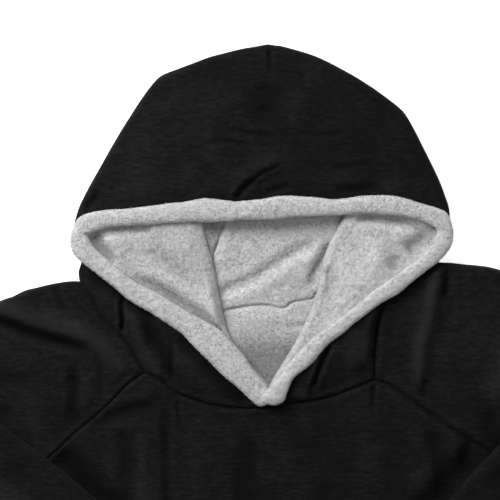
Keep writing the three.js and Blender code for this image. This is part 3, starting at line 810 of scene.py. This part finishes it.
def make_sleeve(side):
    sign = 1 if side == "left" else -1
    top, end = (np.array(p, float) for p in CREASE[side])
    crease = route((CREASE[side], 1))
    shoulder = route((SHOULDER_EDGE[side], 1))
    underarm = straight(UNDERARM[side], end)
    front_start = route((SIDE_NECK[side], 0.3), (FRONT_RAGLAN[side], 0.7))
    in_front = patch(front_start, crease, shoulder, underarm)
    back_shoulder = route(([BACK_RAGLAN[side][0]] + SHOULDER_EDGE[side], 1))
    behind = patch(route((BACK_RAGLAN[side], 1)), crease, back_shoulder, underarm)
    forearm = patch(
        crease, route((CUFF[side], 1)), route((FOREARM_TOP[side], 1)), straight(end, CUFF[side][1])
    )
    outward = np.array([top[1] - end[1], end[0] - top[0]])
    outward *= sign / np.linalg.norm(outward)
    spots = ring_spots()
    high, layer = spots[:, 2], spots[:, 3]
    upper_side = ease((high + TUBE_MID) / (2 * TUBE_MID))
    rows = []
    for t in spread(np.linspace(0, 1, UPPER_ROWS + 1), 0.7):
        front, back = ring_place(in_front, t, spots), ring_place(behind, t, spots)
        p = np.where(layer[:, None] > 0.5, front, back)
        x, y = p.T
        raised = folded(SLEEVE_FOLDS[side], x, y) * min(1, 12 * t, 4 * (1 - t)) + seam_dip(x, y)
        raised = np.maximum(raised, -DEEPEST) * upper_side
        soft = ripple(x, y, 80, 0.8, 5) * min(1, 4 * t) * upper_side
        # Painted shade from the heights, and patches of painted light.
        tone = raised / PLUSH_SHADE + painted_light_tone(x, y)
        rows.append(at_height(p, TUBE_MID + high + raised + soft, tone))
    for share in np.linspace(0, 1, TURN_ROWS + 1)[1:]:
        radius = TURN_Z - TUBE_MID - high
        reach = radius * math.sin(math.pi * share)
        p = ring_place(forearm, 0, spots) + outward * reach[:, None]
        rows.append(at_height(p, TURN_Z - radius * math.cos(math.pi * share)))
    for t in np.linspace(0, 1, FOREARM_ROWS + 1)[1:]:
        p = ring_place(forearm, t, spots)
        x, y = p.T
        raised = folded(FOREARM_FOLDS[side], x, y) * min(1, 5 * t) * (1 - upper_side)
        soft = ripple(x, y, 85, 0.9, 8) * (1 - upper_side)
        z = 2 * TURN_Z - TUBE_MID - high + raised + soft
        rows.append(at_height(p, z, raised / PLUSH_SHADE))
    table = np.array(rows)
    down, about = table.shape[0] - 1, table.shape[1] - 1

    def lay(s, t):
        return table[np.rint(t * down).astype(int), np.rint(s * about).astype(int)]

    bm = bmesh.new()
    add_grid(bm, (about, down), lay)
    piece = new_piece(f"sleeve_{side}_cloth", bm, closed=True)
    face_out(piece)
    wall(piece, WALL - 1, inner=1)
    dress(piece, [PLUSH, SHERPA], f"sleeve_{side}")


def face_out(piece):
    """Turns a tube's faces out, so that the highest of them points up."""
    top = max(piece.data.polygons, key=lambda face: face.center.z)
    if top.normal.z < 0:
        piece.data.flip_normals()


# Hood
CROWN_SHARE = 0.52  # share of the band's length that the crown's outline goes with
EDGE_ROUND = 9.0
WRAP_TURNS = [(0.2, 3.6), (1.0, 1.7), (3.0, 0.7), (WRAP, 0.3)]  # inwards and height of the edge
CROWN_COLUMNS = 126
COLLAR_COLUMNS = 104
COLLAR_RISE = 4.5  # how far the collar puffs up away from its seam
UNDER_BAND = 3.0  # how far the plush dips under the band
HOOD_ROWS = 78


def band_rail(side, share):
    """A line along the band, at a share of the way from its outer to its inner edge."""
    rails = [
        route((points[side][0], BAND_TOP_SHARE), (points[side][1], 1 - BAND_TOP_SHARE))
        for points in (BAND_OUTER, BAND_INNER)
    ]
    return lambda t: (1 - share) * rails[0](t) + share * rails[1](t)


def front_half_neck(side):
    """The front neck seam from its corner to the point of the V."""
    line = smooth_line(FRONT_NECK)
    middle = len(line) // 2
    return line[middle:][::-1] if side == "left" else line[: middle + 1]


def half_back_neck(side):
    """The back neck seam from the shoulder point in to the lower centre seam."""
    line = smooth_line(BACK_NECK)
    split = LOWER_SEAM_END[0]
    half = line[line[:, 0] > split][::-1] if side == "left" else line[line[:, 0] < split]
    return np.vstack([[SHOULDER_POINT[side]], half, [LOWER_SEAM_END]])


def hood_outline(side):
    crown = through(smooth_line(CROWN_EDGE[side]))
    below = through(np.vstack([smooth_line(SIDE_NECK[side])[:-1], front_half_neck(side)]))

    def at(t):
        t = np.asarray(t, float)
        on_crown = crown(np.clip(t / CROWN_SHARE, 0, 1))
        on_neck = below(np.clip((t - CROWN_SHARE) / (1 - CROWN_SHARE), 0, 1))
        return np.where((t <= CROWN_SHARE)[..., None], on_crown, on_neck)

    return at


def make_hood(side):
    inner, outer = band_rail(side, 0.5), hood_outline(side)
    drawn = np.array(CROWN_SEAM[0]) - inner(0.0)

    def from_seam(t):
        """The band's middle line, drawn to the shared centre seam at its start."""
        return inner(t) + drawn * np.exp(-30 * np.asarray(t, float)[..., None])

    place = patch(from_seam, outer, route((CROWN_SEAM, 1)), straight(inner(1.0), outer(1.0)))

    def height(p, along, share, edge):
        x, y = p.T
        crown = ease((CROWN_SHARE - along) / 0.03 + 0.5)
        creased = {True: folded(HOOD_FOLDS, x, y), False: folded(COLLAR_FOLDS, x, y)}
        rounded = np.sqrt(np.clip(1 - (1 - np.clip(edge / EDGE_ROUND, 0, 1)) ** 2, 0, 1))
        on_crown = TUBE_MID * (1 + rounded) + CROWN_RISE * ease(edge / 60)
        on_crown = on_crown + creased[True] * ease(edge / 10 + 0.1)
        on_collar = CLOTH_TOP + seam_dip(x, y) + COLLAR_RISE * ease(edge / 26)
        on_collar = on_collar + creased[False] * ease(edge / 5)
        z = crown * on_crown + (1 - crown) * on_collar
        z = z + ripple(x, y, 70, 0.7, 11) * ease(edge / 20) - UNDER_BAND * ease(1 - share * 8)
        shade = crown * creased[True] + (1 - crown) * (creased[False] + seam_dip(x, y))
        # Painted shade from the heights, and patches of painted light.
        return at_height(p, z, shade / PLUSH_SHADE + painted_light_tone(x, y))

    def upper(first, last):
        def lay(s, t):
            s = first + (last - first) * s
            share = spread(t, 0.5, 0.5)
            width = np.linalg.norm(place(s, 1.0) - place(s, 0.0), axis=1)
            return height(place(s, share), s, share, width * (1 - share))
        return lay

    def turned(s, depth, z):
        """Points of the round edge below the outline, at a depth inwards and a height."""
        edge = outer(s * CROWN_SHARE)
        inward = place(s * CROWN_SHARE, 0.9) - edge
        inward /= np.maximum(np.linalg.norm(inward, axis=1), 1e-6)[:, None]
        return at_height(edge + inward * np.asarray(depth)[..., None], z)

    def wrapped(s, t):
        turns = np.array([(0.0, TUBE_MID)] + WRAP_TURNS)
        depth, z = turns[np.rint(t * len(WRAP_TURNS)).astype(int)].T
        return turned(s, depth, z)

    marks = np.linspace(0, 1, CROWN_COLUMNS + 1)
    rim = turned(marks, np.full(marks.shape, WRAP), marks * 0)[:, :2]
    rim_line = lambda t: np.stack([np.interp(t, marks, rim[:, k]) for k in (0, 1)], axis=-1)
    neck = half_back_neck(side)
    neck[0] = rim[-1]
    under = patch(rim_line, route((LOWER_SEAM, 1)), straight(rim[0], LOWER_SEAM[0]), through(neck))

    def underside(s, t):
        return at_height(under(s, t), np.full(s.shape, WRAP_TURNS[-1][1]))

    bm = bmesh.new()
    add_grid(bm, (CROWN_COLUMNS, HOOD_ROWS), upper(0, CROWN_SHARE), up=True)
    add_grid(bm, (COLLAR_COLUMNS, HOOD_ROWS), upper(CROWN_SHARE, 1), up=True)
    add_grid(bm, (CROWN_COLUMNS, len(WRAP_TURNS)), wrapped, up=False)
    add_grid(bm, (CROWN_COLUMNS, 20), underside, up=False)
    piece = wall(new_piece(f"hood_{side}_cloth", bm), SHELL - 0.4)
    dress(piece, [PLUSH], f"hood_{side}")


def tufts(x, y, z, size=4.5, height=0.55):
    """How far the sherpa's tufts stand up at each point."""
    spots = zip(x / size, y / size, np.broadcast_to(z, x.shape) / size)
    return height * np.array([noise.noise(Vector(spot)) for spot in spots])


LINING_TONE_AND_PAINTED_EDGE_LIGHT = {"left": (0.0, -0.2), "right": (-0.12, 0.35)}  # tone all over, and on the round edge: painted shade on the left, a painted highlight on the right
LINING_START = {"left": 0.235, "right": 0.1}  # where along the band the side lining begins
EDGE_DROP = 7.5  # how far the side lining rounds down at its fold
UNDER_CROWN = 8.0  # how far in from the hood's outline its lining ends


def make_hood_lining(side):
    fold = route((LINING_FOLD[side], 1))
    rail = band_rail(side, 0.62)
    first, tone = LINING_START[side], LINING_TONE_AND_PAINTED_EDGE_LIGHT[side]
    shift = rail(first) - fold(0.0)

    def fold_edge(t):
        return fold(t) + shift * np.exp(-25 * np.asarray(t, float)[..., None])

    place = patch(
        part_of(rail, first, BAND_TOP_SHARE), straight(fold(1.0), rail(1.0)),
        fold_edge, part_of(rail, BAND_TOP_SHARE, 1.0),
    )

    def side_lining(s, t):
        across = spread(s, 0.6)
        p = place(across, t)
        x, y = p.T
        edge = across * np.linalg.norm(place(1.0, t) - place(0.0, t), axis=1)
        reach = 7.0 + (4.0 + 12.0 * ease((0.3 - t) / 0.3) if side == "right" else 0.0)
        drop = 1 - np.sqrt(np.clip(1 - (1 - np.clip(edge / reach, 0, 1)) ** 2, 0, 1))
        raised = folded(SIDE_LINING_FOLDS[side], x, y) * ease(edge / 8)
        z = SIDE_LINING_TOP - EDGE_DROP * drop + raised + tufts(x, y, 0)
        # The round edge gets painted shade on the left and a painted highlight on the right.
        return at_height(p, z, raised / PLUSH_SHADE + tone[0] + tone[1] * drop)

    crown = smooth_line(CROWN_EDGE[side])
    inward = np.array([0.0, 400.0]) - crown
    crown += UNDER_CROWN * inward / np.linalg.norm(inward, axis=1)[:, None]
    crown[0] = (4, 536)
    crown[-1] = SHOULDER_POINT[side]
    back = patch(
        straight(crown[0], LOWER_SEAM[0]), through(half_back_neck(side)),
        through(crown), route((LOWER_SEAM, 1)),
    )

    def back_lining(s, t):
        p = back(spread(s, end=0.5), spread(t, end=0.7))
        x, y = p.T
        raised = folded(BACK_LINING_FOLDS, x, y) + pulled(NECK_SEAM, x, y)
        raised = raised + pulled(CENTRE_SEAM, x, y)
        # Painted shade: the right half is coloured darker from y 336 up, in the hollow beside the
        # side lining's fold.
        hollow_painted_shade = 0.6 * ease((y - 336) / 14) if side == "right" else 0.0
        shade = raised / SHERPA_SHADE - hollow_painted_shade
        return at_height(p, LINING_TOP + raised + tufts(x, y, 0), shade)

    bm = bmesh.new()
    add_grid(bm, (50, 90), side_lining, up=True)
    add_grid(bm, (64, 84), back_lining, up=True)
    piece = wall(new_piece(f"hood_lining_{side}_cloth", bm), 2.0)
    dress(piece, [SHERPA], f"hood_lining_{side}")
    return piece


BAND_STEPS = 220
BAND_AROUND = 22
BAND_CAP_STEPS = 6
BAND_SHAPE = 0.8  # below 1, the band's section is fuller than an ellipse
BAND_END_RISE = {"left": 2.6, "right": -1.6}  # one end of the band crosses over the other at the V
BAND_END = {"left": 0.75, "right": 0.8}  # how far each end reaches, as a share of half its width


def make_band(side):
    marks = np.linspace(0, 1, BAND_STEPS + 1)
    edge, face = band_rail(side, 0)(marks), band_rail(side, 1)(marks)
    for rail in (edge, face):
        for k in (0, 1):
            rail[2:-2, k] = np.convolve(rail[:, k], np.ones(5) / 5, "valid")
    centre, half = (edge + face) / 2, (face - edge) / 2
    run = centre[-1] - centre[-4]
    run /= np.linalg.norm(run)
    reach = np.linalg.norm(half[-1])
    last_centre, last_half = centre[-1], half[-1]
    for turn in np.linspace(0, math.pi / 2, BAND_CAP_STEPS + 1)[1:]:
        centre = np.vstack([centre, last_centre + run * reach * BAND_END[side] * math.sin(turn)])
        half = np.vstack([half, last_half * max(math.cos(turn), 0.03) ** 0.7])
    total = len(centre) - 1
    length = np.arange(total + 1) / BAND_STEPS
    taper = np.minimum(1, 0.95 + 10 * length)
    taper[BAND_STEPS:] = np.linalg.norm(half[BAND_STEPS:], axis=1) / reach
    middle = BAND_MID[side] + BAND_END_RISE[side] * ease((length - 0.9) / 0.1)

    def lay(s, t):
        i = np.rint(t * total).astype(int)
        c, d = np.cos(2 * math.pi * s), np.sin(2 * math.pi * s)
        wide = 1 + 0.05 * np.sin(length[i] * 31) + 0.03 * np.sin(length[i] * 77 + 1)
        p = centre[i] + half[i] * (wide * np.sign(c) * np.abs(c) ** BAND_SHAPE)[:, None]
        z = middle[i] + BAND_HALF_HEIGHT * taper[i] * np.sign(d) * np.abs(d) ** BAND_SHAPE
        swell = tufts(p[:, 0], p[:, 1], z, 4.0, 0.8)
        # Painted light and shade: the band's upper half is coloured lighter and its lower half
        # darker, raised tufts lighter, and the centre seam darker as shade in its notch.
        seam = np.exp(-150 * length[i])
        return at_height(p, z + swell * d, 0.1 * d + 0.25 * swell - 0.4 * seam)

    bm = bmesh.new()
    add_grid(bm, (BAND_AROUND, total), lay)
    bmesh.ops.remove_doubles(bm, verts=bm.verts, dist=0.03 * MM)
    bmesh.ops.holes_fill(bm, edges=[e for e in bm.edges if e.is_boundary], sides=0)
    piece = new_piece(f"hood_band_{side}_cloth", bm, closed=True)
    wall(piece, 1.6)
    dress(piece, [SHERPA], f"hood_band_{side}")
    return piece


# Pile

def inside(polygon, x, y):
    """Which points lie inside a plan polygon."""
    found = np.zeros(x.shape, bool)
    for (x0, y0), (x1, y1) in zip(polygon, np.roll(polygon, -1, axis=0)):
        if y0 == y1:
            continue
        crosses = (y0 > y) != (y1 > y)
        found ^= crosses & (x < x0 + (y - y0) * (x1 - x0) / (y1 - y0))
    return found


def between(line_of):
    """The plan polygon between a line on the right side and one on the left."""
    marks = np.linspace(0, 1, 60)
    return np.vstack([line_of("right")(marks), line_of("left")(marks)[::-1]])


OPENING = between(lambda side: band_rail(side, 0.4))
NECK_VIEW = between(lambda side: route((LINING_FOLD[side], 1)))
LOWER_LAYER = 12.0  # what lies lower than this shows only between the side linings
FOLD_EDGE = 7.5  # and on their round edges
SEAM_CLEAR = 1.6  # the pile stays this far off the lining's seams
STRAND_SIDES = 3
# Strands for each square millimetre, their length and their thickness
LINING_STRANDS = (0.68, 1.9, 0.23)
BAND_STRANDS = (0.68, 1.8, 0.23)
CURL_SEED = 7
noise.seed_set(CURL_SEED)  # unseeded, noise_vector starts from the clock


def make_pile(name, carrier, strands, seed, on_band=False):
    """Curled strands on the upward faces of a sherpa piece, as one joined mesh."""
    density, length, thickness = strands
    rng = np.random.default_rng(seed)
    mesh = carrier.data
    mesh.calc_loop_triangles()
    points = np.array([v.co for v in mesh.vertices]) / MM
    # The strands take the painted shade of the faces they stand on.
    painted_shades = np.array([v.value for v in mesh.attributes["crease"].data])
    triangles = np.array([t.vertices for t in mesh.loop_triangles])
    a, b, c = (points[triangles[:, k]] for k in range(3))
    normal = np.cross(b - a, c - a)
    area = np.linalg.norm(normal, axis=1) / 2
    normal = normal / np.maximum(2 * area, 1e-9)[:, None]
    x, y, z = ((a + b + c) / 3).T
    shows = normal[:, 2] > (-0.1 if on_band else 0.05)
    if not on_band:
        near_fold = np.minimum(*(away_from(LINING_FOLD[side], x, y)[0] for side in SIDES))
        low = inside(NECK_VIEW, x, y) | (near_fold < FOLD_EDGE)
        seams = [away_from(seam, x, y)[0] for seam in (BACK_NECK, LOWER_SEAM)]
        on_seam = np.minimum(*seams) < SEAM_CLEAR
        shows &= inside(OPENING, x, y) & ((z > LOWER_LAYER) | (low & ~on_seam))
    area = np.where(shows, area, 0)
    count = int(area.sum() * density)
    chosen = rng.choice(len(area), count, p=area / area.sum())
    u, v = rng.random((2, count, 1))
    u, v = np.where(u + v > 1, 1 - u, u), np.where(u + v > 1, 1 - v, v)
    root = a[chosen] + u * (b - a)[chosen] + v * (c - a)[chosen]
    up = normal[chosen]
    swirl = np.array([noise.noise_vector(Vector(p / 7.0)) for p in root])
    swirl += 0.3 * rng.normal(size=swirl.shape)
    lean = swirl - (swirl * up).sum(1)[:, None] * up
    lean /= np.maximum(np.linalg.norm(lean, axis=1), 1e-6)[:, None]
    tall = length * rng.uniform(0.65, 1.15, (count, 1))
    rise = rng.uniform(0.3, 0.6, (count, 1))
    middle = root + tall * (0.5 * rise * up + 0.35 * lean)
    tip = middle + tall * (0.2 * rise * up + 0.5 * lean)
    beside = np.cross(up, lean)
    thick = thickness * rng.uniform(0.8, 1.2, (count, 1))
    rings = []
    for centre, share in ((root - 0.3 * up, 1.0), (middle, 0.85)):
        for k in range(STRAND_SIDES):
            angle = 2 * math.pi * k / STRAND_SIDES
            rings.append(centre + thick * share * (beside * math.cos(angle) + up * math.sin(angle)))
    verts = np.stack(rings + [tip], axis=1)
    shape = [(0, 1, 4, 3), (1, 2, 5, 4), (2, 0, 3, 5), (3, 4, 6), (4, 5, 6), (5, 3, 6), (2, 1, 0)]
    size = verts.shape[1]
    faces = [tuple(start * size + i for i in face) for start in range(count) for face in shape]
    pile = bpy.data.meshes.new(name)
    pile.from_pydata((verts.reshape(-1, 3) * MM).tolist(), [], faces)
    tone = painted_shades[triangles].mean(axis=1)[chosen]
    shade = pile.attributes.new("crease", "FLOAT", "POINT")
    shade.data.foreach_set("value", np.repeat(tone, size))
    pile.shade_smooth()
    piece = bpy.data.objects.new(name, pile)
    bpy.context.collection.objects.link(piece)
    print(name, count, "strands")
    return dress(piece, [SHERPA_PILE])


set_stage()
back_lining = make_back()
make_front()
make_pile("back_lining_pile", back_lining, LINING_STRANDS, 11)
for side in SIDES:
    make_sleeve(side)
    make_hood(side)
    make_pile(f"hood_lining_{side}_pile", make_hood_lining(side), LINING_STRANDS, 21)
    make_pile(f"hood_band_{side}_pile", make_band(side), BAND_STRANDS, 33, on_band=True)
